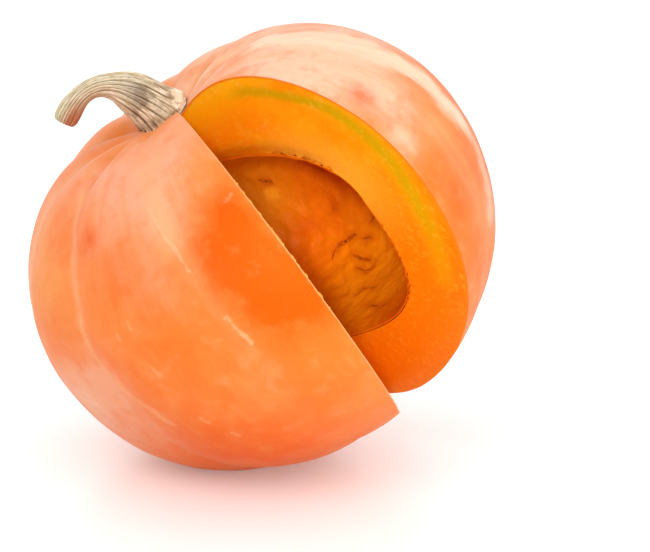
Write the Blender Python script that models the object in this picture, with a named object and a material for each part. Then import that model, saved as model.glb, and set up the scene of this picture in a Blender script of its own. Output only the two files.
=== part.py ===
"""Round ribbed squash with one wedge cut out of it, its stringy pulp and its corky stem, in metres.

The origin is the middle of the flat spot that the squash rests on, with +Z up and the cut open towards -Y and +X.
Each shape is worked out upright first: the squash's own axis along +Z with the stem on top, and azimuth 0 along
-Y, growing towards +X. An empty then leans them all as the squash lies.
"""

from functools import partial
from math import cos, exp, pi, radians, sin

import bmesh
import bpy
import numpy as np
from mathutils import Matrix, Vector

# How the squash lies
CENTRE_ABOVE_REST = (0.007, 0.002, 0.0920)
SPIN = radians(174.5)
LEAN = radians(35.2)
LEAN_HEADING = radians(-164.7)

# Skin
EQUATOR_RADIUS = 0.100
TOP_HEIGHT = 0.0809
BOTTOM_HEIGHT = 0.0910
ROUNDNESS = 2.1
STEM_DIMPLE = 0.0166
STEM_DIMPLE_RADIUS = 0.0392
STEM_PIT = 0.0035
STEM_PIT_RADIUS = 0.013
BLOSSOM_DIMPLE = 0.005
BLOSSOM_DIMPLE_RADIUS = 0.018

# Ribs: a groove every 36 degrees, deepest on the shoulder beside the stem
RIB_COUNT = 10
FIRST_GROOVE = radians(20)
GROOVE_DEPTHS = (0.5, 0.6, 0.5, 0.7, 0.6, 0.8, 0.8, 1.0, 1.5, 0.35)
RIB_CROWN_SHARE = 0.10
EQUATOR_RELIEF = 0.0015
SHOULDER_RELIEF = 0.0034
SHOULDER_RADIUS = 0.030
SHOULDER_WIDTH = 0.020
UNDERSIDE_RELIEF = 0.0015

# Wedge that was cut out
CUT_APEX = (0.0032, -0.0070)
CUT_AZIMUTHS = (radians(3.1), radians(41.2))
CUTTER_REACH = 0.180
CUTTER_HALF_HEIGHT = 0.130
REST_CUTTER = 0.150

# Seed hollow
HOLLOW_RADIUS = 0.0675
HOLLOW_MIDDLE = 0.0039
HOLLOW_UP = 0.0351
HOLLOW_DOWN = 0.0597
HOLLOW_FLOOR_ROUNDNESS = 3.4
HOLLOW_WAVE = 0.0008

# Pulp
GAP = 0.0003
PULP_THICKNESS = 0.0026
PULP_STRAND_RELIEF = 0.0010
PULP_SET_BACK = 0.0006

# Stem: control points of its centre line, from under the skin to the cut end
STEM_LINE = (
    (-0.0013, 0.0085, 0.0540),
    (-0.0013, 0.0065, 0.0795),
    (-0.0125, 0.0040, 0.0983),
    (-0.0258, 0.0030, 0.0908),
    (-0.0353, 0.0030, 0.0857),
)
STEM_THIN_RADIUS = 0.00385
STEM_THICK_RADIUS = 0.0098
STEM_THICK_LENGTH = 0.0316
STEM_TAPER_LENGTH = 0.0038
STEM_FOOT_START = 0.008
STEM_FOOT_FLARE = 0.0045
STEM_FOOT_LENGTH = 0.0045
STEM_FOOT_LOBE = 0.15
STEM_TIP_FLARE = 0.00125
STEM_TIP_START = 0.004
STEM_TIP_LENGTH = 0.008
STEM_RIDGES = 9
STEM_RIDGE_DEPTH = 0.15
STEM_TWIST = radians(35)
STEM_END_HOLLOW = 0.0006

# Mesh fineness
SKIN_AROUND, SKIN_ALONG = 80, 34
HOLLOW_AROUND, HOLLOW_ALONG = 40, 18
PULP_AROUND, PULP_ALONG = 44, 20
STEM_AROUND, STEM_ALONG = 36, 22


def clear_scene():
    for thing in list(bpy.data.objects):
        bpy.data.objects.remove(thing, do_unlink=True)


def material(name, colour, roughness):
    """A plain Principled material with no metal in it."""
    made = bpy.data.materials.new(name)
    made.use_nodes = True
    shader = made.node_tree.nodes["Principled BSDF"]
    shader.inputs["Base Color"].default_value = (*colour, 1.0)
    shader.inputs["Roughness"].default_value = roughness
    shader.inputs["Metallic"].default_value = 0.0
    made.diffuse_color = (*colour, 1.0)
    return made


def bell(distance, width):
    return np.exp(-((distance / width) ** 2))


def groove_depth(azimuth):
    """How deep the groove nearest to each azimuth is, against the average."""
    nearest = np.rint((azimuth - FIRST_GROOVE) * RIB_COUNT / (2 * pi)).astype(int)
    return np.array(GROOVE_DEPTHS)[nearest % RIB_COUNT]


def rib_relief(azimuth, radius, upper):
    """How far the ribs lift the skin: a little above it on their crowns, and below it in the grooves."""
    crown = np.abs(np.sin(RIB_COUNT / 2 * (azimuth - FIRST_GROOVE))) ** 0.8
    shoulder = SHOULDER_RELIEF * bell(radius - SHOULDER_RADIUS, SHOULDER_WIDTH)
    underside = UNDERSIDE_RELIEF * bell(radius - SHOULDER_RADIUS, SHOULDER_WIDTH)
    amount = EQUATOR_RELIEF + np.where(upper, shoulder, underside)
    amount = amount * (1 - bell(radius, STEM_PIT_RADIUS))
    return amount * (RIB_CROWN_SHARE - groove_depth(azimuth) * (1 - crown))


def on_azimuth(azimuth, radius, height):
    return np.stack([radius * np.sin(azimuth), -radius * np.cos(azimuth), height], axis=-1)


def skin_points(azimuth, polar, grow=0.0):
    """Points of the skin. polar runs from 0 at the stem to pi at the blossom end, and grow moves them outwards."""
    upper = np.cos(polar) > 0
    radius = EQUATOR_RADIUS * np.sin(polar) ** (2 / ROUNDNESS)
    share = np.abs(np.cos(polar)) ** (2 / ROUNDNESS)
    top = TOP_HEIGHT * share
    top = top - STEM_DIMPLE * bell(radius, STEM_DIMPLE_RADIUS) - STEM_PIT * bell(radius, STEM_PIT_RADIUS)
    bottom = BLOSSOM_DIMPLE * bell(radius, BLOSSOM_DIMPLE_RADIUS) - BOTTOM_HEIGHT * share
    height = np.where(upper, top, bottom)
    lift = rib_relief(azimuth, radius, upper) + grow
    stretch = 1 + lift / np.hypot(radius, height)
    return on_azimuth(azimuth, radius * stretch, height * stretch)


def hollow_points(azimuth, polar, shrink=0.0):
    """Points of the seed hollow's wall. shrink moves them inwards."""
    upper = np.cos(polar) > 0
    radius = HOLLOW_RADIUS * np.sin(polar)
    floor_share = 1 - np.sin(polar) ** HOLLOW_FLOOR_ROUNDNESS
    floor_share = np.clip(floor_share, 0, 1) ** (1 / HOLLOW_FLOOR_ROUNDNESS)
    height = np.where(upper, HOLLOW_UP * np.cos(polar), -HOLLOW_DOWN * floor_share)
    wave = HOLLOW_WAVE * np.sin(5 * azimuth + 2 * polar) * np.sin(polar) ** 2
    stretch = 1 + (wave - shrink) / np.hypot(radius, height)
    return on_azimuth(azimuth, radius * stretch, HOLLOW_MIDDLE + height * stretch)


def pulp_face_points(azimuth, polar):
    """The pulp's open face, with its strands raised as low ridges that run round and across."""
    strands = np.sin(7 * azimuth + 4 * np.sin(3 * polar)) * np.sin(9 * polar - 2 * np.cos(azimuth))
    strands = strands * np.sin(polar) ** 2
    return hollow_points(azimuth, polar, GAP + PULP_THICKNESS + PULP_STRAND_RELIEF * strands)


def linked(name, mesh, materials, parent=None):
    made = bpy.data.objects.new(name, mesh)
    bpy.context.scene.collection.objects.link(made)
    for one in materials:
        mesh.materials.append(one)
    made.parent = parent
    return made


def round_mesh(name, points_of, around, along):
    """A closed mesh of rings about +Z between two poles, from a function of azimuth and polar angle."""
    azimuth = np.linspace(0, 2 * pi, around, endpoint=False)
    polar = np.linspace(0, pi, along + 1)
    grid = points_of(*np.meshgrid(azimuth, polar[1:-1]))
    poles = points_of(np.zeros(2), polar[[0, -1]])
    bottom = (along - 1) * around
    points = [*grid.reshape(-1, 3), poles[1], poles[0]]
    faces = []
    for column in range(around):
        after = (column + 1) % around
        faces.append((column, after, bottom + 1))
        last = bottom - around
        faces.append((last + after, last + column, bottom))
        for row in range(along - 2):
            upper, lower = row * around, (row + 1) * around
            faces.append((upper + after, upper + column, lower + column, lower + after))
    return closed_mesh(name, points, faces)


def closed_mesh(name, points, faces, smooth=True):
    """The mesh, split into triangles, with its faces turned outwards."""
    mesh = bpy.data.meshes.new(name)
    mesh.from_pydata([tuple(map(float, point)) for point in points], [], faces)
    shape = bmesh.new()
    shape.from_mesh(mesh)
    bmesh.ops.triangulate(shape, faces=shape.faces)
    bmesh.ops.recalc_face_normals(shape, faces=shape.faces)
    for face in shape.faces:
        face.smooth = smooth
    shape.to_mesh(mesh)
    shape.free()
    return mesh


def prism(name, corners, low, high):
    """An upright prism on a flat outline."""
    count = len(corners)
    points = [(x, y, low) for x, y in corners] + [(x, y, high) for x, y in corners]
    sides = [(i, (i + 1) % count, (i + 1) % count + count, i + count) for i in range(count)]
    caps = [tuple(reversed(range(count))), tuple(range(count, 2 * count))]
    return closed_mesh(name, points, sides + caps, smooth=False)


def wedge_outline(set_back=0.0):
    """The wedge seen along the squash's axis. set_back widens it on both cut faces."""
    first, last = CUT_AZIMUTHS
    middle = (first + last) / 2
    draw_back = set_back / sin((last - first) / 2)
    apex = Vector(CUT_APEX) - draw_back * Vector((sin(middle), -cos(middle)))
    rim = [apex + CUTTER_REACH * Vector((sin(a), -cos(a))) for a in (first, middle, last)]
    return [tuple(apex), *(tuple(corner) for corner in rim)]


def cutter(name, mesh, materials, parent=None):
    made = linked(name, mesh, materials, parent)
    made.hide_render = True
    made.display_type = "WIRE"
    return made


def cut(thing, *cutters):
    """Takes each cutter out of the thing. The new faces take the cutter's material."""
    for one in cutters:
        step = thing.modifiers.new("cut by " + one.name, "BOOLEAN")
        step.operation = "DIFFERENCE"
        step.object = one
        step.material_mode = "TRANSFER"


def bezier(points, along):
    """Point and direction on a Bezier curve, by repeated halving between its control points."""
    row = [Vector(point) for point in points]
    while len(row) > 2:
        row = [a.lerp(b, along) for a, b in zip(row, row[1:])]
    return row[0].lerp(row[1], along), (row[1] - row[0]).normalized()


def stem_radius(walked, whole, angle):
    """The stem's outline: flared foot, thick lower part, thin neck, flared cut end, all ridged."""
    slimming = exp((walked - STEM_THICK_LENGTH) / STEM_TAPER_LENGTH)
    thick = (STEM_THICK_RADIUS - STEM_THIN_RADIUS) / (1 + slimming)
    above_foot = max(walked - STEM_FOOT_START, 0)
    foot = STEM_FOOT_FLARE * exp(-above_foot / STEM_FOOT_LENGTH) * (1 + STEM_FOOT_LOBE * cos(angle))
    tip = STEM_TIP_FLARE * exp(-(((whole - walked - STEM_TIP_START) / STEM_TIP_LENGTH) ** 2))
    twisted = angle + STEM_TWIST * walked / whole
    ridge = abs(sin(STEM_RIDGES / 2 * twisted)) ** 0.7
    return (STEM_THIN_RADIUS + thick + foot + tip) * (1 - STEM_RIDGE_DEPTH * (1 - ridge))


def stem_mesh():
    """Ridged rings along the stem's centre line, closed under the skin and by the hollowed cut end."""
    stations = [bezier(STEM_LINE, i / (STEM_ALONG - 1)) for i in range(STEM_ALONG)]
    walked = [0.0]
    for (before, _), (after, _) in zip(stations, stations[1:]):
        walked.append(walked[-1] + (after - before).length)
    points, faces = [], []
    for (middle, ahead), length in zip(stations, walked):
        across = Vector((0, 1, 0)).cross(ahead).normalized()
        back = ahead.cross(across)
        for i in range(STEM_AROUND):
            angle = 2 * pi * i / STEM_AROUND
            reach = stem_radius(length, walked[-1], angle)
            points.append(middle + reach * (cos(angle) * across + sin(angle) * back))
    for row in range(STEM_ALONG - 1):
        low, high = row * STEM_AROUND, (row + 1) * STEM_AROUND
        for i in range(STEM_AROUND):
            after = (i + 1) % STEM_AROUND
            faces.append((low + i, low + after, high + after, high + i))
    foot, foot_ahead = stations[0]
    tip, tip_ahead = stations[-1]
    points += [foot - 0.001 * foot_ahead, tip - STEM_END_HOLLOW * tip_ahead]
    foot_point, tip_point = len(points) - 2, len(points) - 1
    last = (STEM_ALONG - 1) * STEM_AROUND
    for i in range(STEM_AROUND):
        after = (i + 1) % STEM_AROUND
        faces.append((after, i, foot_point))
        faces.append((last + i, last + after, tip_point))
    return closed_mesh("stem", points, faces)


def leaning_axis():
    """The empty that every piece hangs on: spun about the squash's own axis, leaned, and turned to its heading."""
    empty = bpy.data.objects.new("leaning_axis", None)
    bpy.context.scene.collection.objects.link(empty)
    spun = Matrix.Rotation(SPIN, 4, "Z")
    leaned = Matrix.Rotation(LEAN, 4, "Y")
    headed = Matrix.Rotation(LEAN_HEADING, 4, "Z")
    empty.matrix_world = Matrix.Translation(CENTRE_ABOVE_REST) @ headed @ leaned @ spun
    return empty


def make_squash(axis, rind, flesh, wedge):
    """The grown body: its skin, less the wedge, the seed hollow and the flat spot."""
    skin = linked("squash", round_mesh("squash", skin_points, SKIN_AROUND, SKIN_ALONG), [rind, flesh], axis)
    hollow_mesh = round_mesh("seed_hollow", hollow_points, HOLLOW_AROUND, HOLLOW_ALONG)
    hollow = cutter("seed_hollow", hollow_mesh, [flesh], axis)
    ground_corners = [(-REST_CUTTER, -REST_CUTTER), (REST_CUTTER, -REST_CUTTER)]
    ground_corners += [(REST_CUTTER, REST_CUTTER), (-REST_CUTTER, REST_CUTTER)]
    ground = cutter("ground", prism("ground", ground_corners, -REST_CUTTER, 0.0), [rind])
    cut(skin, wedge, hollow, ground)


def make_pulp(axis, pulp):
    """The thin layer inside the hollow, cut a little further back than the flesh."""
    outside = round_mesh("pulp", partial(hollow_points, shrink=GAP), HOLLOW_AROUND, HOLLOW_ALONG)
    layer = linked("pulp", outside, [pulp], axis)
    face_mesh = round_mesh("pulp_face", pulp_face_points, PULP_AROUND, PULP_ALONG)
    face = cutter("pulp_face", face_mesh, [pulp], axis)
    edge_mesh = prism("pulp_edge", wedge_outline(PULP_SET_BACK), -CUTTER_HALF_HEIGHT, CUTTER_HALF_HEIGHT)
    edge = cutter("pulp_edge", edge_mesh, [pulp], axis)
    cut(layer, face, edge)


def make_stem(axis, cork):
    """The stem, cut off along the skin under it."""
    stalk = linked("stem", stem_mesh(), [cork], axis)
    seat_mesh = round_mesh("stem_seat", partial(skin_points, grow=GAP), SKIN_AROUND, SKIN_ALONG)
    cut(stalk, cutter("stem_seat", seat_mesh, [cork], axis))


def main():
    clear_scene()
    rind = material("rind", (0.93, 0.35, 0.10), 0.42)
    flesh = material("flesh", (0.96, 0.46, 0.06), 0.50)
    pulp = material("pulp", (0.80, 0.21, 0.01), 0.55)
    cork = material("cork", (0.62, 0.50, 0.33), 0.85)
    axis = leaning_axis()
    wedge_mesh = prism("wedge", wedge_outline(), -CUTTER_HALF_HEIGHT, CUTTER_HALF_HEIGHT)
    wedge = cutter("wedge", wedge_mesh, [flesh], axis)
    make_squash(axis, rind, flesh, wedge)
    make_pulp(axis, pulp)
    make_stem(axis, cork)


main()
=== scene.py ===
from functools import partial
from math import atan2, cos, exp, pi, radians, sin, sqrt

import bmesh
import bpy
import numpy as np
from mathutils import Matrix, Vector, noise


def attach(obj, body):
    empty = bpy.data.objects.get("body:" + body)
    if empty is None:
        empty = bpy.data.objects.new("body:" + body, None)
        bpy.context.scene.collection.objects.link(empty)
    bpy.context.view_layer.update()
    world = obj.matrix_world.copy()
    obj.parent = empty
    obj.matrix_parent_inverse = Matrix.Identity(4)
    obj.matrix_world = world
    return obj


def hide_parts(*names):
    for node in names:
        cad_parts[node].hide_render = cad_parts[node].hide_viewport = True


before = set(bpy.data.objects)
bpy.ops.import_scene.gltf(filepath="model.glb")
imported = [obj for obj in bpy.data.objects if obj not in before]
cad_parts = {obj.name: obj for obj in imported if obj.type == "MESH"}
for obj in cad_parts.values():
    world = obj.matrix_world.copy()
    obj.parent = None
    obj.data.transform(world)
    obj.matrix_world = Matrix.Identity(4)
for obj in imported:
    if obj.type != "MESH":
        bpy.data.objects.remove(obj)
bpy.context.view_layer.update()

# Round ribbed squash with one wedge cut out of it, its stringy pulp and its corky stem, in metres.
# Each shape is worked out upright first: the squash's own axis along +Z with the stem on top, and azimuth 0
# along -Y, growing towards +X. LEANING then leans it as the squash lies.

# How the squash lies
CENTRE_ABOVE_REST = (0.007, 0.002, 0.0920)
SPIN = radians(174.5)
LEAN = radians(35.2)
LEAN_HEADING = radians(-164.7)
SPUN = Matrix.Rotation(SPIN, 4, "Z")
LEANED = Matrix.Rotation(LEAN, 4, "Y")
HEADED = Matrix.Rotation(LEAN_HEADING, 4, "Z")
LEANING = Matrix.Translation(CENTRE_ABOVE_REST) @ HEADED @ LEANED @ SPUN

# Skin
EQUATOR_RADIUS = 0.100
TOP_HEIGHT = 0.0809
BOTTOM_HEIGHT = 0.0910
ROUNDNESS = 2.1
STEM_DIMPLE = 0.0166
STEM_DIMPLE_RADIUS = 0.0392
STEM_PIT = 0.0035
STEM_PIT_RADIUS = 0.013
BLOSSOM_DIMPLE = 0.005
BLOSSOM_DIMPLE_RADIUS = 0.018
SKIN_INSET = 0.0001
RIND_THICKNESS = 0.0009
RIND_GAP = 0.00003
DENT_SIZE = 0.020
DENT_DEPTH = 0.00016

# Ribs: a groove every 36 degrees, deepest on the shoulder beside the stem
RIB_COUNT = 10
FIRST_GROOVE = radians(20)
GROOVE_DEPTHS = (0.5, 0.6, 0.5, 0.7, 0.6, 0.8, 0.8, 1.0, 1.5, 0.35)
RIB_CROWN_SHARE = 0.10
GROOVE_PALENESS = (0.3, 0.3, 0.2, 0.6, 0.45, 0.7, 0.5, 0.6, 0.10, 0.15)
EQUATOR_RELIEF = 0.0015
SHOULDER_RELIEF = 0.0034
SHOULDER_RADIUS = 0.030
SHOULDER_WIDTH = 0.020
UNDERSIDE_RELIEF = 0.0015

# Wedge that was cut out
CUT_APEX = (0.0032, -0.0070)
CUT_AZIMUTHS = (radians(3.1), radians(41.2))
CUT_REACH = 0.125
CUT_HALF_HEIGHT = 0.105
CUT_WAVER = 0.00012
CUT_WAVER_SIZE = 0.018
REST_CUTTER = 0.150

# Rounding of the last cut face into the hollow's upper edge, and the angle from the top where it fades out
EDGE_ROUNDING = 0.0024
EDGE_ROUNDING_WIDTH = 0.0042
EDGE_ROUNDING_END = radians(88)
EDGE_ROUNDING_FADE = radians(30)

# Seed hollow
HOLLOW_RADIUS = 0.0675
HOLLOW_MIDDLE = 0.0039
HOLLOW_UP = 0.0351
HOLLOW_DOWN = 0.0597
HOLLOW_FLOOR_ROUNDNESS = 3.4
HOLLOW_WAVE = 0.0008
HOLLOW_CENTRE = np.array([0, 0, HOLLOW_MIDDLE])

# Pulp
GAP = 0.0003
PULP_THICKNESS = 0.0026
PULP_THINNEST = 0.0005
PULP_THINNING = 0.005
PULP_SET_BACK = 0.0004
PULP_RAGGEDNESS = 0.0004
PULP_RAGGED_SIZE = 0.0045

# Pulp's relief: size of the features and how far they rise
LUMP_SIZE, LUMP_RISE = 0.020, 0.0007
FOLD_SIZE, FOLD_RISE = 0.012, 0.0007
WRINKLE_SIZE, WRINKLE_RISE = 0.004, 0.0002
SLIT_OVERLAP = 1.35
SLIT_STAIN_REACH = 0.0024

# Ragged marks along the hollow's edge on the last cut face. A row runs between two polar angles in degrees.
# The ranges are how far outwards each mark lies, its tilt, length, width and depth.
PIT_ROW, PIT_COUNT = (34, 66), 26
PIT_RANGES = ((-0.0004, 0.0014), (-0.9, 0.9), (0.0010, 0.0032), (0.0005, 0.0012), (0.0003, 0.0009))
TEAR_ROW, TEAR_COUNT = (94, 126), 22
TEAR_RANGES = ((-0.0013, 0.0002), (-0.7, 0.7), (0.0016, 0.0038), (0.0005, 0.0009), (0.0006, 0.0014))

# Crumbs on the rim of the first cut face: rows as first and last polar angle in degrees and how many
CRUMB_ROWS = ((70, 83, 13), (52, 70, 5), (84, 96, 4))
CRUMB_AZIMUTH = radians(5.3)
CRUMB_UNDER_SKIN = (0.0007, 0.0016)
CRUMB_LENGTH = (0.0008, 0.0030)
CRUMB_WIDTH = 0.0007
CRUMB_RELIEF = (0.00015, 0.00055)

# Stem: control points of its centre line, from under the skin to the cut end
STEM_LINE = (
    (-0.0013, 0.0085, 0.0540),
    (-0.0013, 0.0065, 0.0795),
    (-0.0125, 0.0040, 0.0983),
    (-0.0258, 0.0030, 0.0908),
    (-0.0353, 0.0030, 0.0857),
)
STEM_THIN_RADIUS = 0.00385
STEM_THICK_RADIUS = 0.0098
STEM_THICK_LENGTH = 0.0316
STEM_TAPER_LENGTH = 0.0038
STEM_FOOT_START = 0.008
STEM_FOOT_FLARE = 0.0045
STEM_FOOT_LENGTH = 0.0045
STEM_FOOT_LOBE = -0.15
STEM_TIP_FLARE = 0.00125
STEM_TIP_START = 0.004
STEM_TIP_LENGTH = 0.008
STEM_TIP_ROUNDING = 0.0022
STEM_RIDGES = 9
STEM_RIDGE_DEPTH = 0.06
STEM_FINE_RIDGES = 21
STEM_FINE_RIDGE_DEPTH = 0.15
STEM_FIBRE_RELIEF = 0.016
STEM_LUMP_RELIEF = 0.014
STEM_SLIMMED = 0.012
STEM_TWIST = radians(35)
STEM_WANDER = 0.10
STEM_END_HOLLOW = 0.0006
STEM_END_ROUGHNESS = 0.0003
STEM_END_RINGS = ((0.86, 0.25), (0.62, 0.7), (0.34, 0.95))
STEM_FOOT_SUNK = 0.001
STEM_PATCH_AT, STEM_PATCH_SIDE = 0.026, radians(285)
STEM_KNOB_AT = 0.0100
STEM_KNOB_LENGTH = 0.0042
STEM_KNOB_WIDTH = 0.95
STEM_KNOB_RELIEF = 0.0018
STEM_TUCK = 0.0006
STEM_KNOB_TUCK = 0.0022
STEM_TUCK_HEIGHT = 0.0020

# Mesh fineness
SKIN_AROUND, SKIN_ALONG = 360, 170
HOLLOW_AROUND, HOLLOW_ALONG = 180, 90
PULP_AROUND, PULP_ALONG = 300, 150
STEM_AROUND, STEM_ALONG = 216, 150
CUT_CELL = 0.0022

# Camera: the photo is 650 pixels wide, and its focal length is 1680 of them
CAMERA_FROM_CENTRE = (0.0282, -0.6880, 0.1301)
CAMERA_PITCH = radians(78)
SENSOR_WIDTH = 36
LENS = SENSOR_WIDTH * 1680 / 650


# Polar angles at which the skin's and the hollow's outlines are measured
PROFILE = np.linspace(0.001, pi - 0.001, 721)


# Shapes

def bell(distance, width):
    return np.exp(-((distance / width) ** 2))


def unit(vectors):
    return vectors / np.linalg.norm(vectors, axis=-1, keepdims=True)


def azimuth_of(points):
    return np.arctan2(points[..., 0], -points[..., 1])


def angle_from_top(points, middle=0.0):
    """Angle between each point and the stem's end of the axis, seen from this height on the axis."""
    return np.arctan2(np.hypot(points[..., 0], points[..., 1]), points[..., 2] - middle)


def nearest_groove(azimuth):
    return np.rint((azimuth - FIRST_GROOVE) * RIB_COUNT / (2 * pi)).astype(int)


def groove_depth(azimuth):
    """How deep the groove nearest to each azimuth is, against the average."""
    return np.array(GROOVE_DEPTHS)[nearest_groove(azimuth) % RIB_COUNT]


def rib_crown(azimuth):
    """0 at the bottom of each groove and 1 on the crown of each rib."""
    return np.abs(np.sin(RIB_COUNT / 2 * (azimuth - FIRST_GROOVE))) ** 0.8


def rib_relief(azimuth, radius, upper):
    """How far the ribs lift the skin: a little above it on their crowns, and below it in the grooves."""
    shoulder = SHOULDER_RELIEF * bell(radius - SHOULDER_RADIUS, SHOULDER_WIDTH)
    underside = UNDERSIDE_RELIEF * bell(radius - SHOULDER_RADIUS, SHOULDER_WIDTH)
    amount = EQUATOR_RELIEF + np.where(upper, shoulder, underside)
    amount = amount * (1 - bell(radius, STEM_PIT_RADIUS))
    return amount * (RIB_CROWN_SHARE - groove_depth(azimuth) * (1 - rib_crown(azimuth)))


def on_azimuth(azimuth, radius, height):
    return np.stack([radius * np.sin(azimuth), -radius * np.cos(azimuth), height], axis=-1)


def skin_points(azimuth, polar, grow=0.0):
    """Points of the skin. polar is 0 at the stem and pi at the blossom end. grow moves them outwards."""
    upper = np.cos(polar) > 0
    radius = EQUATOR_RADIUS * np.sin(polar) ** (2 / ROUNDNESS)
    share = np.abs(np.cos(polar)) ** (2 / ROUNDNESS)
    top = TOP_HEIGHT * share
    top = top - STEM_DIMPLE * bell(radius, STEM_DIMPLE_RADIUS) - STEM_PIT * bell(radius, STEM_PIT_RADIUS)
    bottom = BLOSSOM_DIMPLE * bell(radius, BLOSSOM_DIMPLE_RADIUS) - BOTTOM_HEIGHT * share
    height = np.where(upper, top, bottom)
    lift = rib_relief(azimuth, radius, upper) + grow - SKIN_INSET
    stretch = 1 + lift / np.hypot(radius, height)
    return on_azimuth(azimuth, radius * stretch, height * stretch)


def hollow_points(azimuth, polar, shrink=0.0):
    """Points of the seed hollow's wall. shrink moves them inwards."""
    upper = np.cos(polar) > 0
    radius = HOLLOW_RADIUS * np.sin(polar)
    floor_share = 1 - np.sin(polar) ** HOLLOW_FLOOR_ROUNDNESS
    floor_share = np.clip(floor_share, 0, 1) ** (1 / HOLLOW_FLOOR_ROUNDNESS)
    height = np.where(upper, HOLLOW_UP * np.cos(polar), -HOLLOW_DOWN * floor_share)
    wave = HOLLOW_WAVE * np.sin(5 * azimuth + 2 * polar) * np.sin(polar) ** 2
    stretch = 1 + (wave - shrink) / np.hypot(radius, height)
    return on_azimuth(azimuth, radius * stretch, HOLLOW_MIDDLE + height * stretch)


def fractal(points, size, octaves=4, seed=0.0):
    """Smooth noise of about -1 to 1 at each point, with features of this size."""
    shift = Vector((seed, -seed, 2 * seed))
    rows = points.reshape(-1, 3)
    found = [noise.fractal(Vector(row) / size + shift, 0.8, 2.0, octaves) for row in rows]
    return np.array(found).reshape(points.shape[:-1])


def grid_faces(rows, around):
    """Quads between rings of points, each ring closed on itself."""
    faces = []
    for row in range(rows - 1):
        upper, lower = row * around, (row + 1) * around
        for column in range(around):
            after = (column + 1) % around
            faces.append((upper + after, upper + column, lower + column, lower + after))
    return faces


def closed_mesh(name, points, faces):
    """A smooth mesh with its faces turned outwards."""
    mesh = bpy.data.meshes.new(name)
    mesh.from_pydata(np.asarray(points, float).tolist(), [], faces)
    shape = bmesh.new()
    shape.from_mesh(mesh)
    bmesh.ops.recalc_face_normals(shape, faces=shape.faces)
    for face in shape.faces:
        face.smooth = True
    shape.to_mesh(mesh)
    shape.free()
    return mesh


def round_mesh(name, points_of, around, along):
    """A closed mesh of rings about +Z between two poles, from a function of azimuth and polar angle."""
    azimuth = np.linspace(0, 2 * pi, around, endpoint=False)
    polar = np.linspace(0, pi, along + 1)
    grid = points_of(*np.meshgrid(azimuth, polar[1:-1])).reshape(-1, 3)
    poles = points_of(np.zeros(2), polar[[0, -1]])
    faces = grid_faces(along - 1, around)
    bottom, top = len(grid), len(grid) + 1
    last = bottom - around
    for column in range(around):
        after = (column + 1) % around
        faces.append((column, after, top))
        faces.append((last + after, last + column, bottom))
    return closed_mesh(name, np.vstack([grid, poles[1], poles[0]]), faces)


def edge_rounding(points):
    """How far the last cut face is rounded off into the upper edge of the seed hollow."""
    upper = np.clip((EDGE_ROUNDING_END - angle_from_top(points, HOLLOW_MIDDLE)) / EDGE_ROUNDING_FADE, 0, 1)
    return EDGE_ROUNDING * upper * bell(np.clip(hollow_distance(points), 0, None), EDGE_ROUNDING_WIDTH)


def wedge_mesh(set_back=0.0, ragged=0.0):
    """The wedge as a closed solid, with its two cut faces finely divided and slightly uneven."""
    first, last = CUT_AZIMUTHS
    middle = (first + last) / 2
    across, along = int(CUT_REACH / CUT_CELL), int(2 * CUT_HALF_HEIGHT / CUT_CELL)
    draw_back = set_back / sin((last - first) / 2)
    apex = np.array([CUT_APEX[0] - draw_back * sin(middle), CUT_APEX[1] + draw_back * cos(middle)])
    reach = np.linspace(0, CUT_REACH, across + 1)
    heights = np.linspace(-CUT_HALF_HEIGHT, CUT_HALF_HEIGHT, along + 1)
    profile = [(distance, first) for distance in reach[:0:-1]]
    profile += [(distance, last) for distance in reach]
    rows = []
    for height in heights:
        for distance, azimuth in profile:
            rows.append((apex[0] + distance * sin(azimuth), apex[1] - distance * cos(azimuth), height))
    points = np.array(rows)
    uneven = CUT_WAVER * fractal(points, CUT_WAVER_SIZE, 3, 4.0)
    if ragged:
        uneven = uneven + ragged * fractal(points, PULP_RAGGED_SIZE, 4, 9.0)
    width = len(profile)
    side = np.tile([-1.0] * across + [0.0] + [1.0] * across, along + 1)
    azimuths = np.where(side < 0, first, last)
    uneven = uneven + np.where(side > 0, edge_rounding(points), 0.0)
    points[:, 0] += side * uneven * np.cos(azimuths)
    points[:, 1] += side * uneven * np.sin(azimuths)
    faces = []
    for row in range(along):
        low, high = row * width, (row + 1) * width
        for i in range(width - 1):
            faces.append((low + i, low + i + 1, high + i + 1, high + i))
        faces.append((low + width - 1, low, high, high + width - 1))
    faces.append(tuple(range(width - 1, -1, -1)))
    faces.append(tuple(range(along * width, (along + 1) * width)))
    return closed_mesh("wedge", points, faces)


def ground_mesh():
    """A block under the floor, leaned back so that it lies under the leaning squash."""
    made = bpy.data.meshes.new("ground")
    shape = bmesh.new()
    bmesh.ops.create_cube(shape, size=2 * REST_CUTTER)
    shape.transform(LEANING.inverted() @ Matrix.Translation((0, 0, -REST_CUTTER)))
    shape.to_mesh(made)
    shape.free()
    return made


def object_of(name, data):
    made = bpy.data.objects.new(name, data)
    bpy.context.scene.collection.objects.link(made)
    return made


def solid(mesh, steps):
    """The mesh after one Boolean for each (operation, mesh) of the steps."""
    used = [object_of("used", mesh)]
    for operation, other in steps:
        step = used[0].modifiers.new("step", "BOOLEAN")
        step.operation = operation
        step.solver = "MANIFOLD"
        step.object = object_of("used", other)
        used.append(step.object)
    seen = used[0].evaluated_get(bpy.context.evaluated_depsgraph_get())
    result = bpy.data.meshes.new_from_object(seen)
    for one in used:
        bpy.data.objects.remove(one, do_unlink=True)
    return result


def positions(mesh):
    flat = np.empty(len(mesh.vertices) * 3)
    mesh.vertices.foreach_get("co", flat)
    return flat.reshape(-1, 3)


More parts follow.
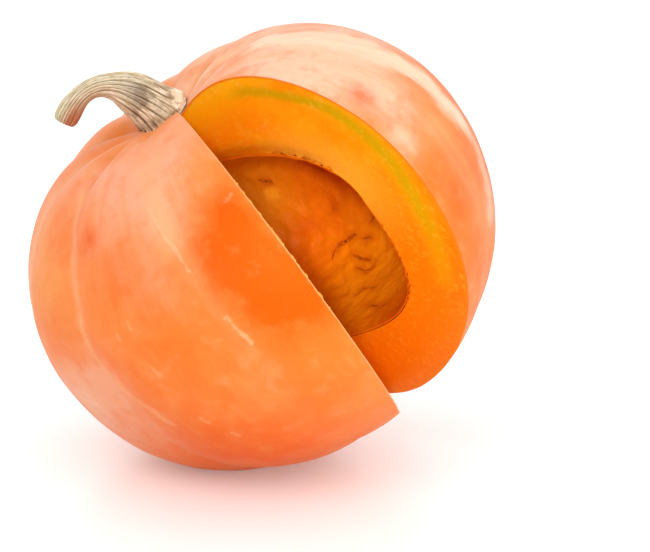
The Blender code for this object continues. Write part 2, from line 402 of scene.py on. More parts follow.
def give(mesh, name, values):
    """Stores a number or a vector at each vertex, for the materials to read."""
    values = np.asarray(values, float)
    kind, key = ("FLOAT", "value") if values.ndim == 1 else ("FLOAT_VECTOR", "vector")
    mesh.attributes.new(name, kind, "POINT").data.foreach_set(key, values.reshape(-1))


def skin_depth(points):
    """How far each point is under the skin, and its polar angle."""
    smooth = skin_points(np.full_like(PROFILE, FIRST_GROOVE + pi / RIB_COUNT), PROFILE)
    angle, reach = angle_from_top(smooth), np.linalg.norm(smooth, axis=1)
    slant = np.gradient(np.log(reach), angle)
    facing = 1 / np.sqrt(1 + slant ** 2)
    own_angle = angle_from_top(points)
    own_polar = np.interp(own_angle, angle, PROFILE)
    relief = rib_relief(azimuth_of(points), np.hypot(points[:, 0], points[:, 1]), points[:, 2] > 0)
    full = np.interp(own_angle, angle, reach) + relief
    return (full - np.linalg.norm(points, axis=1)) * np.interp(own_angle, angle, facing), own_polar


def hollow_distance(points):
    """How far each point is outside the seed hollow's wall."""
    wall = hollow_points(np.zeros_like(PROFILE), PROFILE) - HOLLOW_CENTRE
    apart = points - HOLLOW_CENTRE
    reach = np.interp(angle_from_top(apart), angle_from_top(wall), np.linalg.norm(wall, axis=1))
    return np.linalg.norm(apart, axis=1) - reach


def lens_axes(long_way, depth_way):
    z = Vector(depth_way).normalized()
    y = z.cross(Vector(long_way)).normalized()
    return y.cross(z), y, z


def lens_mesh(lenses):
    """Small closed lenses joined in one mesh, each (middle, long way, depth way, length, width, depth)."""
    shape = bmesh.new()
    for middle, long_way, depth_way, length, width, depth in lenses:
        x, y, z = lens_axes(long_way, depth_way)
        turn = Matrix((x * length / 2, y * width / 2, z * depth)).transposed().to_4x4()
        turn.translation = Vector(middle)
        bmesh.ops.create_icosphere(shape, subdivisions=2, radius=1.0, matrix=turn)
    mesh = bpy.data.meshes.new("lenses")
    shape.to_mesh(mesh)
    shape.free()
    return mesh


def within_lenses(points, lenses):
    """1 at each point on or in one of the lenses, and 0 elsewhere."""
    found = np.zeros(len(points))
    for middle, long_way, depth_way, length, width, depth in lenses:
        shares = (points - np.array(middle)) @ np.array(lens_axes(long_way, depth_way)).T
        shares = shares / (length / 2, width / 2, depth)
        found[(shares ** 2).sum(axis=1) < 1.05] = 1.0
    return found


def near_lenses(points, lenses, reach):
    """1 at the middle of each lens, fading to 0 away from it."""
    nearest = np.full(len(points), 1.0)
    for middle, long_way, depth_way, length, width, depth in lenses:
        ahead = unit(np.array(long_way)) * length / 2
        apart = points - np.array(middle)
        share = np.clip(apart @ ahead / (ahead @ ahead), -1, 1)
        nearest = np.minimum(nearest, np.linalg.norm(apart - share[:, None] * ahead, axis=1))
    return bell(nearest, reach)


# Materials: small helpers that build node trees

class Look:
    """A material's node tree, with short names for the nodes that these materials use."""

    def __init__(self, name):
        self.material = bpy.data.materials.new(name)
        self.material.use_nodes = True
        self.tree = self.material.node_tree
        self.surface = self.tree.nodes["Principled BSDF"]

    def put(self, socket, value):
        if isinstance(value, bpy.types.NodeSocket):
            self.tree.links.new(value, socket)
        elif isinstance(value, (tuple, list)) and len(value) == 3 and socket.type == "RGBA":
            socket.default_value = (*value, 1.0)
        else:
            socket.default_value = value

    def set(self, **values):
        for name, value in values.items():
            self.put(self.surface.inputs[name.replace("_", " ")], value)

    def read(self, name):
        node = self.tree.nodes.new("ShaderNodeAttribute")
        node.attribute_name = name
        return node

    def number(self, name):
        return self.read(name).outputs["Fac"]

    def vector(self, name):
        return self.read(name).outputs["Vector"]

    def math(self, operation, *values):
        node = self.tree.nodes.new("ShaderNodeMath")
        node.operation = operation
        for socket, value in zip(node.inputs, values):
            self.put(socket, value)
        return node.outputs[0]

    def times(self, first, second):
        return self.math("MULTIPLY", first, second)

    def plus(self, first, second):
        return self.math("ADD", first, second)

    def minus(self, first, second):
        return self.math("SUBTRACT", first, second)

    def along(self, operation, first, second):
        node = self.tree.nodes.new("ShaderNodeVectorMath")
        node.operation = operation
        self.put(node.inputs[0], first)
        self.put(node.inputs["Scale"] if operation == "SCALE" else node.inputs[1], second)
        return node.outputs["Value"] if operation in ("DOT_PRODUCT", "LENGTH") else node.outputs["Vector"]

    def span(self, value, low, high, to_low=0.0, to_high=1.0):
        """Eases value from low to high into to_low to to_high."""
        node = self.tree.nodes.new("ShaderNodeMapRange")
        node.interpolation_type = "SMOOTHSTEP"
        for socket, number in zip(node.inputs, (value, low, high, to_low, to_high)):
            self.put(socket, number)
        return node.outputs[0]

    def noise(self, vector, scale, detail=3.0, roughness=0.55, warp=0.0, output="Fac"):
        node = self.tree.nodes.new("ShaderNodeTexNoise")
        self.put(node.inputs["Vector"], vector)
        node.inputs["Scale"].default_value = scale
        node.inputs["Detail"].default_value = detail
        node.inputs["Roughness"].default_value = roughness
        node.inputs["Distortion"].default_value = warp
        return node.outputs[output]

    def cells(self, vector, scale):
        """Distance to the middle of the nearest of many scattered cells."""
        node = self.tree.nodes.new("ShaderNodeTexVoronoi")
        self.put(node.inputs["Vector"], vector)
        node.inputs["Scale"].default_value = scale
        return node.outputs["Distance"]

    def mix(self, share, first, second):
        node = self.tree.nodes.new("ShaderNodeMix")
        node.data_type = "RGBA"
        self.put(node.inputs[0], share)
        self.put(node.inputs[6], first)
        self.put(node.inputs[7], second)
        return node.outputs[2]

    def base(self, first, second, value, *eased):
        """Starts the colour as a mix of two tints, by the value as span eases it."""
        self.colour = self.mix(self.span(value, *eased), tint(*first), tint(*second))

    def coat(self, over, value, *eased):
        """Lays a tint over the colour, as strongly as the value says, or the value as span eases it."""
        share = self.span(value, *eased) if eased else value
        self.colour = self.mix(share, self.colour, tint(*over))

    def capped(self, value, most):
        return self.math("MINIMUM", value, most)

    def marked(self, name, value, *eased):
        """A share stored in the mesh, times the value as span eases it."""
        return self.times(self.number(name), self.span(value, *eased))

    def shifted(self, vector, scale, reach):
        """The vector moved by noise, up to about half this reach each way."""
        noise_vector = self.noise(vector, scale, WANDER_DETAIL, WANDER_ROUGHNESS, 0.0, "Color")
        wander = self.along("SUBTRACT", noise_vector, (0.5, 0.5, 0.5))
        return self.along("ADD", vector, self.along("SCALE", wander, reach))

    def off(self, vector, place):
        """Distance between the vector and a fixed place."""
        return self.along("LENGTH", self.along("SUBTRACT", vector, place), (0, 0, 0))

    def bump(self, height, strength, distance):
        node = self.tree.nodes.new("ShaderNodeBump")
        node.inputs["Strength"].default_value = strength
        node.inputs["Distance"].default_value = distance
        self.put(node.inputs["Height"], height)
        return node.outputs[0]


def tint(red, green, blue):
    """A colour as it looks on screen, from 0 to 255, as the linear values that shaders take."""
    linear = []
    for part in (red / 255, green / 255, blue / 255):
        linear.append(part / 12.92 if part <= 0.04045 else ((part + 0.055) / 1.055) ** 2.4)
    return tuple(linear)


def spot(azimuth, polar):
    """The skin's point at this azimuth and polar angle in degrees, in the materials' millimetres."""
    return tuple(1000 * skin_points(np.array(radians(azimuth)), np.array(radians(polar))))


def near_line(look, place, stops):
    """Distance in millimetres from place to a line through the stops, (azimuth, polar) each."""
    nearest = None
    for start, end in zip(stops, stops[1:]):
        first, last = Vector(spot(*start)), Vector(spot(*end))
        whole = last - first
        apart = look.along("SUBTRACT", place, tuple(first))
        share = look.math("DIVIDE", look.along("DOT_PRODUCT", apart, tuple(whole)), whole.length_squared)
        share = look.math("MINIMUM", look.math("MAXIMUM", share, 0.0), 1.0)
        steps = look.tree.nodes.new("ShaderNodeCombineXYZ")
        for socket, part in zip(steps.inputs, whole):
            look.put(socket, look.times(share, part))
        distance = look.off(apart, steps.outputs[0])
        nearest = distance if nearest is None else look.math("MINIMUM", nearest, distance)
    return nearest


# Colour zones of the skin as (azimuth, polar, reach in degrees of arc, strength)
# Pink zones: partly the skin's own pink blush, partly a painted highlight on the upper left and painted rim
# light along the lower left limb.
PINK_AND_PAINTED_HIGHLIGHT_ZONES = (
    (-8, 24, 11, 0.9), (-58, 88, 8, 0.8), (-66, 101, 10, 0.9), (119, 13, 14, 0.8),
    (-15.3, 33, 12, 0.7), (-16.5, 43.8, 9, 0.6), (-17.5, 54, 8, 0.5), (-33, 33, 14, 0.45),
    (-36, 50, 7, 0.35), (-25, 66, 7, 0.35), (-55.2, 87.3, 9, 0.6), (-50, 104, 8, 0.5),
    (-70, 86, 7, 0.7), (-66, 22, 14, 0.6), (51.8, 42.5, 13, 1), (53.5, 52.4, 11, 1),
    (51.9, 69.9, 7, 1),
    (42.5, 78.2, 4, 0.9), (44.6, 22.3, 16, 0.8), (80, 60, 10, 0.8), (140, 20, 34, 0.8),
    (180, 45, 26, 0.5), (-120, 45, 30, 0.5), (66, 110, 7, 0.8), (120, 60, 20, 0.4),
)
DEEP_ZONES = (
    (-0.5, 60, 8, 0.4), (-5.6, 68, 9, 0.8), (-4, 80, 9, 1), (1.5, 90, 9, 1),
    (-32.5, 60.7, 8, 0.3), (-42.2, 48.7, 3, 0.5), (-38, 122, 22, 0.55), (46.8, 62.9, 3.5, 0.7),
    (48.5, 96, 10, 0.35), (140, 110, 30, 0.5), (-150, 100, 30, 0.5), (90, 110, 20, 0.5),
)
YELLOW_ZONES = (
    (-75, 42, 9, 0.9), (-66, 58, 8, 0.8), (-90, 60, 14, 0.6), (57.5, 82.5, 6, 0.8),
    (-55.8, 57.4, 3, 0.4), (-40, 38, 6, 0.35), (160, 80, 20, 0.5),
)
# Pale zones: partly the skin's own pale patches, partly painted light: a lighter patch near the top beyond
# the stem where the skin lies in shade, and painted rim light on the left limb.
PALE_AND_PAINTED_LIGHT_ZONES = (
    (51.8, 42.5, 12, 0.9), (53.5, 52.4, 10, 0.9), (52.5, 66, 6, 0.9), (44.6, 22.3, 12, 0.5),
    (76, 50, 10, 0.8), (100, 28, 20, 0.7), (43.5, 78, 4, 0.5), (145, 18, 16, 0.55),
    (-66, 92, 7, 0.6),
)
ZONES = {"pink_and_highlight": PINK_AND_PAINTED_HIGHLIGHT_ZONES, "deep": DEEP_ZONES, "yellow": YELLOW_ZONES, "top": PALE_AND_PAINTED_LIGHT_ZONES}

# Lines and spots on the skin as (azimuth, polar) stops in degrees
CREAM_STRIPES = (
    ((123.4, 10.3), (106.1, 17.1), (84, 24.7), (75.6, 33.7), (73.9, 42.7), (73.6, 51.5), (74.2, 57.3)),
    ((74.7, 27.9), (67.6, 38.7), (67, 47.7), (67.5, 61.6), (69.4, 68), (68.4, 74.4)),
    ((69.4, 61), (70, 74.4), (67.9, 82.4), (69.6, 89.3)),
    ((69.6, 89.3), (70, 97), (66, 104.8), (62, 112)),
)
PALE_STREAKS = (
    ((-69.2, 19.8), (-55.1, 31.5), (-50.7, 46.3), (-50.4, 59.5), (-52.1, 68.9)),
    ((-52.1, 68.9), (-52, 79.1), (-48.2, 87.5), (-46, 93.3), (-43, 101)),
    ((-15.3, 35.7), (-17.1, 52.7), (-17.4, 60.6)),
)
FINE_LINES = (
    ((-18.9, 47.6), (-17.5, 57.1), (-16.2, 62.5), (-15.7, 68.6)),
    ((-14.1, 83.1), (-13.7, 86.7), (-12.9, 91.5)),
)
PALE_SPOTS = (
    ((-39.8, 74.4), (-39.6, 76.4)), ((-35.5, 72.6), (-35.4, 74.6)), ((-35.9, 84.9), (-35.2, 88.3)),
    ((-34.6, 102), (-34, 104.4)), ((-31.8, 110.4), (-31.4, 112)), ((2.4, 58.2), (0.4, 58.9)),
    ((45.2, 77.6), (47.2, 78.4)),
)


def zone_strength(points, zones):
    """How strongly each point lies in the zones, by its angle from each zone's middle."""
    strength = np.zeros(len(points))
    for azimuth, polar, reach, most in zones:
        apart = np.degrees(np.arccos(np.clip(unit(points) @ unit(np.array(spot(azimuth, polar))), -1, 1)))
        strength = strength + most * bell(apart, reach)
    return strength


# Pieces

def for_materials(mesh):
    """Stores at each vertex its upright place in millimetres, its depth under the skin and other measures."""
    points = positions(mesh)
    depth, polar = skin_depth(points)
    azimuth = azimuth_of(points)
    give(mesh, "place", 1000 * points)
    give(mesh, "under_skin", 1000 * depth)
    give(mesh, "off_hollow", 1000 * hollow_distance(points))
    give(mesh, "streak", np.stack([100 * np.cos(azimuth), 100 * np.sin(azimuth), 18 * polar], axis=-1))
    return points, 1000 * depth, polar


def make_piece(name, mesh, material, node):
    """Leans the finished mesh over and puts it in the frame."""
    mesh.transform(LEANING)
    mesh.materials.clear()
    mesh.materials.append(material)
    mesh.set_sharp_from_angle(angle=radians(40))
    piece = object_of(name, mesh)
    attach(piece, "root")
    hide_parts(node)
    return piece


def uneven_skin(azimuth, polar, grow=0.0):
    """The skin with its slight dents."""
    points = skin_points(azimuth, polar, grow)
    dents = fractal(points, DENT_SIZE, 3, 1.0) * DENT_DEPTH
    return points + unit(points) * (dents - DENT_DEPTH)[..., None]


def on_cut(polar, outwards=0.0):
    """Where the last cut face meets the hollow's wall, moved outwards along that face."""
    last = CUT_AZIMUTHS[1]
    radius = HOLLOW_RADIUS * sin(polar)
    ahead = np.array([sin(last), -cos(last)])
    start = np.array(CUT_APEX)
    along = start @ ahead
    distance = -along + sqrt(max(along ** 2 - start @ start + radius ** 2, 0))
    x, y = start + distance * ahead
    azimuth = atan2(x, -y)
    wall = hollow_points(np.array(azimuth), np.array(polar))
    return wall + outwards * unit(wall - HOLLOW_CENTRE)


def ragged_lenses(rng, polars, ranges):
    """Small lenses along the hollow's edge on the last cut face, at these polar angles in degrees."""
    facing = face_normal(CUT_AZIMUTHS[1])
    lenses = []
    for polar in polars:
        outwards, tilt, length, width, depth = [rng.uniform(*between) for between in ranges]
        middle = on_cut(radians(polar), outwards)
        middle = middle + edge_rounding(middle[None])[0] * facing
        ahead = unit(on_cut(radians(polar + 2)) - on_cut(radians(polar - 2)))
        long_way = cos(tilt) * ahead + sin(tilt) * np.cross(facing, ahead)
        lenses.append((middle, long_way, facing, length, width, depth))
    return lenses


def pit_lenses():
    """The ragged row of small pits along the hollow's upper edge."""
    rng = np.random.default_rng(11)
    return ragged_lenses(rng, rng.uniform(*PIT_ROW, PIT_COUNT), PIT_RANGES)


def tear_lenses():
    """The ragged edge where the pulp tore off the flesh, down the far side of the hollow's mouth."""
    return ragged_lenses(np.random.default_rng(5), np.linspace(*TEAR_ROW, TEAR_COUNT), TEAR_RANGES)


def crumb_meshes():
    """Small flakes of skin and flesh that stand out from the rim of the first cut face."""
    rng = np.random.default_rng(8)
    facing = face_normal(CUT_AZIMUTHS[0])
    crumbs = []
    for polar in np.concatenate([rng.uniform(*row) for row in CRUMB_ROWS]):
        rim = skin_points(np.array(CRUMB_AZIMUTH), np.array(radians(polar)), -rng.uniform(*CRUMB_UNDER_SKIN))
        rim = rim - (rim[:2] - np.array(CUT_APEX)) @ facing[:2] * facing
        length = rng.uniform(*CRUMB_LENGTH)
        along = np.array([rng.uniform(-0.5, 0.5), rng.uniform(-0.9, 0.9), 1.0])
        crumbs.append(lens_mesh([(rim, along, facing, length, CRUMB_WIDTH, rng.uniform(*CRUMB_RELIEF))]))
    return crumbs


# Slits in the pulp: (azimuth, polar) stops from end to end, in degrees, and the widest part in millimetres
SLITS = (
    (((166.3, 90), (164.4, 90.2), (162.5, 90.5)), 1.5),
    (((152.6, 120.7), (149.8, 120.5), (146.8, 120.1), (143.6, 119.5), (140.5, 118.9)), 1.9),
    (((143.3, 129.2), (138.1, 132.8), (131.9, 135.5)), 1.2),
    (((139.8, 137.9), (133.4, 141.3), (128.2, 140.4)), 0.4),
    (((127.2, 156), (126.3, 154.1), (122.6, 153.2), (111.6, 152.2)), 0.5),
    (((85.6, 160.2), (62.8, 154.5), (58.3, 148.2)), 0.5),
    (((126.4, 112.4), (129.2, 114.2), (131.5, 115.4)), 0.5),
    (((136.8, 122.4), (134.2, 122.2), (131.6, 123)), 0.5),
    (((153.5, 121.7), (155.5, 123.9), (156.8, 126.3)), 0.4),
    (((145.4, 103), (147.1, 104.9)), 0.3),
    (((-150, 110), (-143, 113)), 0.9),
    (((-120, 128), (-128, 131)), 1),
    (((100, 120), (96, 127)), 0.6),
)


def slit_lenses():
    """Rows of overlapping narrow lenses along each slit, half sunk in the pulp and thinner at its ends."""
    lenses = []
    for stops, width in SLITS:
        azimuths, polars = np.radians(np.array(stops)).T
        row = pulp_face(azimuths, polars)
        count = len(row) - 1
        for i in range(count):
            middle = (row[i] + row[i + 1]) / 2
            length = np.linalg.norm(row[i + 1] - row[i])
            share = sin(pi * (i + 0.5) / count) if count > 1 else 1.0
            wide = width / 1000 * (0.5 + 0.5 * share)
            outward = middle - HOLLOW_CENTRE
            depth = 0.0005 + 0.6 * wide
            lenses.append((middle, row[i + 1] - row[i], outward, SLIT_OVERLAP * length, wide, depth))
    return lenses


def face_normal(azimuth):
    """Direction at right angles to the cut face at this azimuth."""
    return np.array([cos(azimuth), sin(azimuth), 0])


def beside_wedge(points):
    """How far outside the wedge each point is, and negative within it."""
    first, last = CUT_AZIMUTHS
    x, y = points[..., 0] - CUT_APEX[0], points[..., 1] - CUT_APEX[1]
    return np.maximum(-x * cos(first) - y * sin(first), x * cos(last) + y * sin(last))


def pulp_face(azimuth, polar):
    """The pulp's inside: soft lumps and folds, with finer wrinkles. It thins out towards the cut."""
    middle_face = hollow_points(azimuth, polar, GAP + PULP_THICKNESS / 2)
    fullness = 1 - np.exp(-np.clip(beside_wedge(middle_face), 0, None) / PULP_THINNING)
    thickness = PULP_THINNEST + (PULP_THICKNESS - PULP_THINNEST) * fullness
    inner = hollow_points(azimuth, polar, GAP + thickness)
    folds = 1 - 2 * np.abs(fractal(inner, FOLD_SIZE, 3, 5.0))
    lift = LUMP_RISE * fractal(inner, LUMP_SIZE, 2, 2.0) + FOLD_RISE * np.clip(folds, -0.5, 1)
    lift = lift + WRINKLE_RISE * fractal(inner, WRINKLE_SIZE, 2, 7.0)
    inward = unit(HOLLOW_CENTRE - inner)
    return inner + inward * (lift * fullness * np.sin(polar) ** 0.5)[..., None]


def make_rind(material):
    outside = round_mesh("skin", uneven_skin, SKIN_AROUND, SKIN_ALONG)
    inside = round_mesh("skin_inside", partial(uneven_skin, grow=-RIND_THICKNESS), SKIN_AROUND, SKIN_ALONG)
    mesh = solid(outside, [("DIFFERENCE", cutter) for cutter in (inside, wedge_mesh(), ground_mesh())])
    points, _, polar = for_materials(mesh)
    azimuth = azimuth_of(points)
    for name, zones in ZONES.items():
        give(mesh, name, zone_strength(points, zones))
    give(mesh, "off_cut", np.where(azimuth % (2 * pi) < radians(22), 1000 * beside_wedge(points), 50.0))
    groove = nearest_groove(azimuth)
    off_groove = np.degrees(azimuth - FIRST_GROOVE) - groove * 360 / RIB_COUNT
    paleness = np.array(GROOVE_PALENESS)[groove % RIB_COUNT]
    give(mesh, "groove", paleness * bell(off_groove, 4.5) * bell(polar - radians(70), radians(50)))
    give(mesh, "near_stem", bell(np.hypot(points[:, 0], points[:, 1]), 0.020) * (points[:, 2] > 0))
    return make_piece("rind", mesh, material, "squash")


# Olive band in the flesh, at these angles from the top in degrees: depth under the skin and width in
# millimetres, and strength
OLIVE_ANGLES = (20, 31, 38, 50, 62, 78, 95, 120)
OLIVE_DEPTHS = (6.8, 7.3, 7.6, 7.8, 5.4, 6.8, 9.9, 10.2)
OLIVE_WIDTHS = (1.0, 1.0, 1.0, 1.0, 1.1, 1.5, 1.8, 1.8)
OLIVE_STRENGTHS = (0.0, 0.1, 0.85, 1.0, 1.0, 1.0, 0.9, 0.3)


def make_flesh(material):
    under_rind = partial(uneven_skin, grow=-RIND_THICKNESS - RIND_GAP)
    outside = round_mesh("flesh", under_rind, SKIN_AROUND, SKIN_ALONG)
    hollow = round_mesh("hollow", hollow_points, HOLLOW_AROUND, HOLLOW_ALONG)
    ragged = pit_lenses() + tear_lenses()
    steps = [("DIFFERENCE", cutter) for cutter in (hollow, wedge_mesh(), ground_mesh(), lens_mesh(ragged))]
    mesh = solid(outside, steps + [("UNION", one) for one in crumb_meshes()])
    points, depth, _ = for_materials(mesh)
    angle = np.degrees(angle_from_top(points))
    off_olive = depth - np.interp(angle, OLIVE_ANGLES, OLIVE_DEPTHS)
    give(mesh, "off_olive", off_olive / np.interp(angle, OLIVE_ANGLES, OLIVE_WIDTHS))
    give(mesh, "olive", np.interp(angle, OLIVE_ANGLES, OLIVE_STRENGTHS, right=0.0))
    give(mesh, "angle", angle)
    give(mesh, "torn", within_lenses(points, ragged))
    give(mesh, "crumb", np.clip((-beside_wedge(points) - 0.00018) / 0.00015, 0, 1))
    return make_piece("flesh", mesh, material, "squash")


def make_pulp(material):
    outside = round_mesh("pulp", partial(hollow_points, shrink=GAP), PULP_AROUND, PULP_ALONG)
    face = round_mesh("pulp_face", pulp_face, PULP_AROUND, PULP_ALONG)
    edge = wedge_mesh(PULP_SET_BACK, PULP_RAGGEDNESS)
    slits = slit_lenses()
    torn = slits + tear_lenses()
    mesh = solid(outside, [("DIFFERENCE", cutter) for cutter in (face, edge, lens_mesh(torn))])
    points = for_materials(mesh)[0]
    give(mesh, "torn", within_lenses(points, torn))
    give(mesh, "stain", near_lenses(points, slits, SLIT_STAIN_REACH))
    aside = np.clip(beside_wedge(points), 0, None)
    upper = np.clip((radians(100) - angle_from_top(points, HOLLOW_MIDDLE)) / radians(30), 0, 1)
    # Mask for painted light on the hollow's roof under its overhanging edge, which lies in shade
    give(mesh, "painted_roof_light", upper * bell(aside, 0.016) * (1 - bell(aside, 0.0035)))
    give(mesh, "lip", upper * bell(aside, 0.0035))
    return make_piece("pulp", mesh, material, "pulp")


def bezier(points, along):
    """Point and direction on a Bezier curve, by repeated halving between its control points."""
    row = [Vector(point) for point in points]
    while len(row) > 2:
        row = [a.lerp(b, along) for a, b in zip(row, row[1:])]
    return row[0].lerp(row[1], along), (row[1] - row[0]).normalized()


def stem_surface(walked, whole, angle):
    """The stem's radius, with how far up its ridges and how much of its smooth corky knob a point is."""
    slimming = exp((walked - STEM_THICK_LENGTH) / STEM_TAPER_LENGTH)
    thick = (STEM_THICK_RADIUS - STEM_THIN_RADIUS) / (1 + slimming)
    above_foot = max(walked - STEM_FOOT_START, 0)
    foot = STEM_FOOT_FLARE * exp(-above_foot / STEM_FOOT_LENGTH) * (1 + STEM_FOOT_LOBE * cos(angle))
    tip = STEM_TIP_FLARE * exp(-(((whole - walked - STEM_TIP_START) / STEM_TIP_LENGTH) ** 2))
    side = (angle + pi) % (2 * pi) - pi
    knob = exp(-(((walked - STEM_KNOB_AT) / STEM_KNOB_LENGTH) ** 2) - (side / STEM_KNOB_WIDTH) ** 2)
    twisted = angle + STEM_TWIST * walked / whole
    twisted += STEM_WANDER * noise.noise(Vector((2 * cos(angle), 2 * sin(angle), 60 * walked)))
    coarse = abs(sin(STEM_RIDGES / 2 * twisted)) ** 0.7
    sharp = abs(sin(STEM_FINE_RIDGES / 2 * twisted)) ** 0.6
    deeper = 0.75 + 0.6 * noise.noise(Vector((5 * cos(twisted), 5 * sin(twisted), 25 * walked)))
    cut_in = STEM_RIDGE_DEPTH * (1 - coarse) + STEM_FINE_RIDGE_DEPTH * deeper * (1 - sharp)
    cut_in *= 1 - 0.9 * knob
    fibres = noise.fractal(Vector((14 * cos(twisted), 14 * sin(twisted), 45 * walked)), 0.8, 2.0, 3)
    lumps = noise.fractal(Vector((2.5 * cos(angle), 2.5 * sin(angle), 150 * walked)), 0.8, 2.0, 3)
    rounded = min(1.0, 0.80 + 0.20 * sqrt(min((whole - walked) / STEM_TIP_ROUNDING, 1.0)))
    rough = 1 + STEM_FIBRE_RELIEF * fibres + STEM_LUMP_RELIEF * lumps - STEM_SLIMMED
    own = STEM_THIN_RADIUS + thick + foot + tip + STEM_KNOB_RELIEF * knob
    reach = own * (1 - cut_in) * rough * rounded
    return reach, (0.25 * coarse + 0.75 * sharp) * (1 - knob) + knob, knob


def tucked_in(points, stations, knob):
    """Draws the stem's side in where it meets the skin, most of all its knob."""
    middles = np.repeat([middle for middle, _ in stations], STEM_AROUND, axis=0)
    sides = points[:len(middles)]
    amount = STEM_TUCK + STEM_KNOB_TUCK * knob[:len(middles)]
    amount = amount * bell(skin_depth(sides)[0], STEM_TUCK_HEIGHT)
    points[:len(middles)] = sides + unit(middles - sides) * amount[:, None]
    return points


def make_stem(material):
    """Ridged rings along the stem's centre line, closed under the skin and by the dished cut end."""
    stations = [bezier(STEM_LINE, i / (STEM_ALONG - 1)) for i in range(STEM_ALONG)]
    walked = [0.0]
    for (before, _), (after, _) in zip(stations, stations[1:]):
        walked.append(walked[-1] + (after - before).length)
    whole = walked[-1]
    points, kept = [], []
    for (middle, ahead), length in zip(stations, walked):
        across = Vector((0, 1, 0)).cross(ahead).normalized()
        back = ahead.cross(across)
        for i in range(STEM_AROUND):
            angle = 2 * pi * i / STEM_AROUND
            reach, ridge, knob = stem_surface(length, whole, angle)
            points.append(middle + reach * (cos(angle) * across + sin(angle) * back))
            kept.append((length, ridge, knob, angle, 0.0))
    foot, foot_ahead = stations[0]
    tip, tip_ahead = stations[-1]
    rim = points[-STEM_AROUND:]
    for share, dish in STEM_END_RINGS:
        for i, edge in enumerate(rim):
            rough = STEM_END_ROUGHNESS * noise.noise(2000 * edge * share)
            points.append(tip.lerp(edge, share) - (dish * STEM_END_HOLLOW + rough) * tip_ahead)
            kept.append((whole, share, 0.0, 2 * pi * i / STEM_AROUND, 1.0))
    rings = STEM_ALONG + len(STEM_END_RINGS)
    faces = grid_faces(rings, STEM_AROUND)
    points += [foot - STEM_FOOT_SUNK * foot_ahead, tip - STEM_END_HOLLOW * tip_ahead]
    kept += [(0.0, 1.0, 0.0, 0.0, 0.0), (whole, 0.0, 0.0, 0.0, 1.0)]
    foot_point, tip_point = len(points) - 2, len(points) - 1
    last = (rings - 1) * STEM_AROUND
    for i in range(STEM_AROUND):
        after = (i + 1) % STEM_AROUND
        faces.append((i, after, foot_point))
        faces.append((last + after, last + i, tip_point))
    kept = np.array(kept)
    mesh = closed_mesh("stem", tucked_in(np.array(points), stations, kept[:, 2]), faces)
    angle = kept[:, 3] + STEM_TWIST * kept[:, 0] / whole
    give(mesh, "walked", 1000 * kept[:, 0])
    give(mesh, "ridge", kept[:, 1])
    give(mesh, "knob", kept[:, 2])
    # Mask of the stem's underside, where light reflected from the orange skin is painted
    give(mesh, "underside_bounce", bell(np.abs(kept[:, 3] - pi), 1.3))
    give(mesh, "patch", bell(kept[:, 0] - STEM_PATCH_AT, 0.006) * bell(kept[:, 3] - STEM_PATCH_SIDE, 0.55))
    give(mesh, "cut_end", kept[:, 4])
    give(mesh, "fibre", np.stack([10 * np.cos(angle), 10 * np.sin(angle), 90 * kept[:, 0]], axis=-1))
    seat = round_mesh("seat", partial(skin_points, grow=GAP), SKIN_AROUND, SKIN_ALONG)
    mesh = solid(mesh, [("DIFFERENCE", seat)])
    give(mesh, "place", 1000 * positions(mesh))
    return make_piece("stem_cork", mesh, material, "stem")


# Materials. Their colours are as they look on screen, from 0 to 255, and each share turns them into what the
# surface gives back under this light.

WANDER_DETAIL, WANDER_ROUGHNESS = 3.0, 0.5
RIND_SHARE = (0.76, 0.66, 0.52)
SKIN = (251, 132, 58)
LIGHT_SKIN = (253, 146, 76)
BRUSHED_SKIN = (253, 166, 108)
YELLOW_SKIN = (253, 168, 98)
# Pink blush, partly painted highlight and painted rim light
PINK_SKIN_AND_PAINTED_HIGHLIGHT = (252, 184, 162)
# Pale skin, partly painted light
PALE_SKIN_AND_PAINTED_LIGHT = (254, 218, 204)
DARK_MOTTLE = (248, 118, 44)
LIGHT_MOTTLE = (254, 186, 144)
DEEP_SKIN = (239, 90, 0)
CLOUDY_SKIN = (252, 158, 100)
CREAM = (254, 236, 222)
PALE_STREAK = (253, 186, 146)
PALE_GROOVE = (254, 204, 166)
FINE_LINE = (254, 200, 166)
PALE_SPOT = (254, 196, 154)
SKIN_AT_STEM = (252, 200, 168)
PORE = (253, 190, 140)
CUT_RIM = (254, 190, 142)
SKIN_INSIDE = (250, 142, 34)

FLESH_SHARE = (0.84, 0.90, 0.60)
FLESH = (253, 140, 4)
LIGHT_FLESH = (254, 156, 16)
INNER_FLESH = (254, 170, 62)
LOW_FLESH = (243, 114, 0)
# Painted light near the apex
APEX_FLESH_PAINTED_LIGHT = (255, 172, 8)
# Painted shade at the hollow's upper edge
EDGE_FLESH_PAINTED_SHADE = (226, 100, 0)
OLIVE = (196, 154, 0)
FLESH_AT_SKIN = (246, 122, 4)
PALE_FIBRE = (255, 176, 60)
BUBBLE_RIM = (255, 200, 110)
DARK_GRAIN = (240, 120, 0)
CRUMB = (254, 172, 96)
TORN_FLESH = (224, 112, 16)

PULP_SHARE = (0.98, 0.86, 0.56)
PULP = (212, 92, 2)
LIGHT_PULP = (228, 116, 6)
PULP_VEIN = (214, 88, 4)
PALE_PULP = (252, 152, 34)
# Painted shade in the pulp's dips
PULP_DIP_SHADE = (206, 84, 4)
# Painted light on the hollow's left
LEFT_PULP_PAINTED_LIGHT = (232, 148, 20)
# Painted light on the hollow's roof
ROOF_PULP_PAINTED_LIGHT = (255, 168, 40)
PULP_LIP = (220, 96, 0)
# Painted light low in the hollow
LOW_PULP_PAINTED_LIGHT = (255, 156, 16)
TEARDROP = (250, 168, 40)
SLIT_STAIN = (204, 86, 4)
TORN_PULP = (180, 80, 8)

